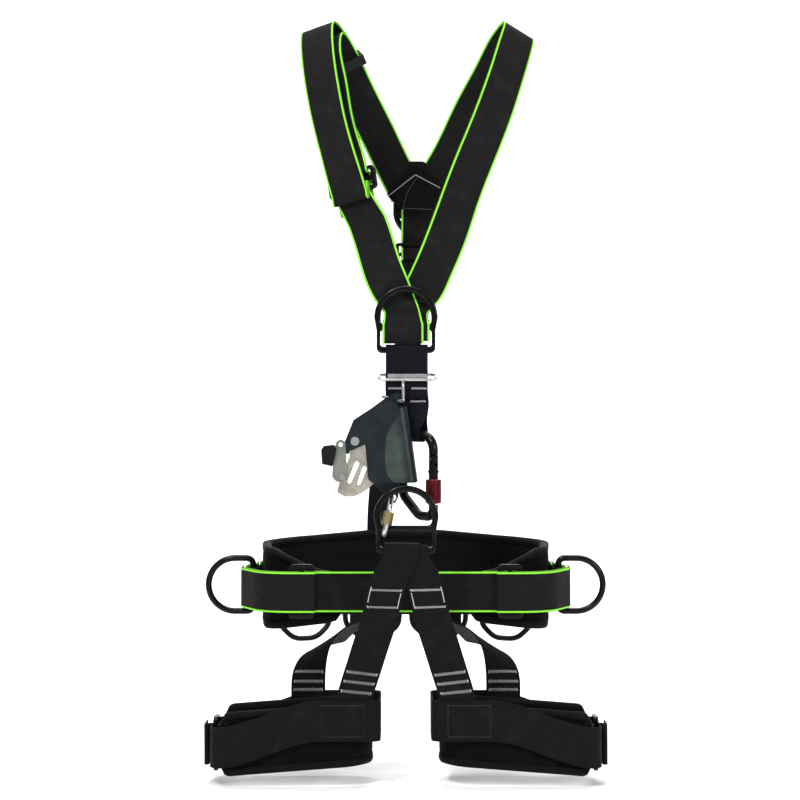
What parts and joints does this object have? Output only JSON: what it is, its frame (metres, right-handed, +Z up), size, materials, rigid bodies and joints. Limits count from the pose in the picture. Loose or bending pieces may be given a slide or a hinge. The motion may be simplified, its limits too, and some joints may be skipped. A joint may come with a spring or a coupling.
{
  "type": "full-body tree climbing harness with chest ascender",
  "caption": "Black full-body tree climbing harness with green-edged webbing, padded waist belt and leg loops, and a chest ascender",
  "frame": {"origin": "centre of the eye of the belly ring", "axes": "+X to the viewer's right (the wearer's left), -Y to the front, +Z up"},
  "size_m": [0.446, 0.2732, 0.8286],
  "materials": {
    "webbing": "fine dark grey weave with bright green edge stitching",
    "chest_webbing": "navy black ribbed weave",
    "pad_fabric": "matt black woven cover",
    "foam": "closed-cell foam",
    "tube": "moulded black tube",
    "black_steel": "black plated, smooth",
    "steel": "zinc plated",
    "black_alloy": "black anodised",
    "green_alloy": "dark green anodised, satin",
    "cam_steel": "cast steel, nickel plated",
    "grey_steel": "satin grey",
    "plastic": "black moulded",
    "red_alloy": "dark red anodised",
    "gold_steel": "yellow passivated"
  },
  "bodies": {
    "side_ring_left": {"side_ring_left": "black_steel"},
    "side_ring_right": {"side_ring_right": "black_steel"},
    "back_ring": {"back_ring": "black_steel"},
    "cam": {"ascender_cam": "cam_steel"},
    "catch": {"catch": "grey_steel", "catch_grip": "plastic", "catch_pin": "steel"},
    "gate": {"carabiner_gate": "black_alloy"},
    "sleeve": {"carabiner_sleeve": "red_alloy"},
    "belt_bar_left": {"belt_adjuster_bar_left": "black_steel"},
    "belt_bar_right": {"belt_adjuster_bar_right": "black_steel"},
    "leg_bar_left": {"leg_adjuster_bar_left": "black_steel"},
    "leg_bar_right": {"leg_adjuster_bar_right": "black_steel"},
    "shoulder_bar": {"shoulder_adjuster_bar": "black_steel"},
    "back_bar": {"back_adjuster_bar": "black_steel"},
    "harness": {"ascender_frame": "green_alloy", "back_adjuster": "black_steel", "back_pad": "pad_fabric", "back_plate": "black_steel", "back_strap_lower": "webbing", "back_strap_upper": "webbing", "belly_ring": "black_steel", "belt_adjuster_left": "black_steel", "belt_adjuster_right": "black_steel", "belt_strap_left": "webbing", "belt_strap_right": "webbing", "belt_webbing_front": "webbing", "belt_webbing_rear": "webbing", "cam_rivet": "steel", "cam_spring": "steel", "carabiner_body": "black_alloy", "chest_ring": "black_steel", "chest_strap": "chest_webbing", "gate_pin": "steel", "gear_loop_tabs": "webbing", "gear_loops_inner": "tube", "gear_loops_outer": "tube", "hanger_bar": "steel", "hanger_wire": "steel", "leg_adjuster_left": "black_steel", "leg_adjuster_right": "black_steel", "leg_covers": "pad_fabric", "leg_foams": "foam", "leg_front_strap_left": "webbing", "leg_front_strap_right": "webbing", "leg_linings": "pad_fabric", "leg_risers": "webbing", "leg_webbing_left": "webbing", "leg_webbing_right": "webbing", "link_nut": "gold_steel", "quick_link": "steel", "shoulder_adjuster": "black_steel", "shoulder_keeper": "plastic", "shoulder_strap_left_lower": "webbing", "shoulder_strap_left_upper": "webbing", "shoulder_strap_right": "webbing", "side_ring_tabs": "webbing", "waist_pad_cover": "pad_fabric", "waist_pad_foam": "foam", "waist_pad_lining": "pad_fabric"}
  },
  "joints": [
    {"name": "side_ring_left_swing", "type": "hinge", "parent": "harness", "child": "side_ring_left", "pos_m": [-0.17, 0.1325, -0.091], "axis": [0, 0, 1], "range_deg": [-55, 55]},
    {"name": "side_ring_right_swing", "type": "hinge", "parent": "harness", "child": "side_ring_right", "pos_m": [0.17, 0.1325, -0.091], "axis": [0, 0, 1], "range_deg": [-55, 55]},
    {"name": "back_ring_lift", "type": "hinge", "parent": "harness", "child": "back_ring", "pos_m": [0.015, 0.2445, 0.35], "axis": [1, 0, 0], "range_deg": [0, 150]},
    {"name": "cam_open", "type": "hinge", "parent": "harness", "child": "cam", "pos_m": [-0.054, 0.0235, 0.071], "axis": [0, 1, 0], "range_deg": [0, 50], "stiffness_Nm_per_rad": 0.2, "springref_deg": -34.38},
    {"name": "catch_release", "type": "hinge", "parent": "cam", "child": "catch", "pos_m": [-0.067, 0.0125, 0.033], "axis": [0, -1, 0], "range_deg": [0, 22], "stiffness_Nm_per_rad": 0.03, "springref_deg": -34.38},
    {"name": "gate_open", "type": "hinge", "parent": "harness", "child": "gate", "pos_m": [0.029, 0.02228, 0.052], "axis": [0.7141, 0.7001, 0], "range_deg": [0, 17], "stiffness_Nm_per_rad": 0.12, "springref_deg": -22.92},
    {"name": "sleeve_travel", "type": "slide", "parent": "gate", "child": "sleeve", "axis": [0, 0, -1], "range_m": [0, 0.004]},
    {"name": "belt_bar_left_travel", "type": "slide", "parent": "harness", "child": "belt_bar_left", "axis": [1, 0, 0], "range_m": [-0.0015, 0.0015]},
    {"name": "belt_bar_right_travel", "type": "slide", "parent": "harness", "child": "belt_bar_right", "axis": [1, 0, 0], "range_m": [-0.0015, 0.0015]},
    {"name": "leg_bar_left_travel", "type": "slide", "parent": "harness", "child": "leg_bar_left", "axis": [0, 1, 0], "range_m": [-0.0015, 0.0015]},
    {"name": "leg_bar_right_travel", "type": "slide", "parent": "harness", "child": "leg_bar_right", "axis": [0, 1, 0], "range_m": [-0.0015, 0.0015]},
    {"name": "shoulder_bar_travel", "type": "slide", "parent": "harness", "child": "shoulder_bar", "axis": [0.1423, -0.2087, -0.9676], "range_m": [-0.0015, 0.0015]},
    {"name": "back_bar_travel", "type": "slide", "parent": "harness", "child": "back_bar", "axis": [0, 0, 1], "range_m": [-0.0015, 0.0015]}
  ]
}
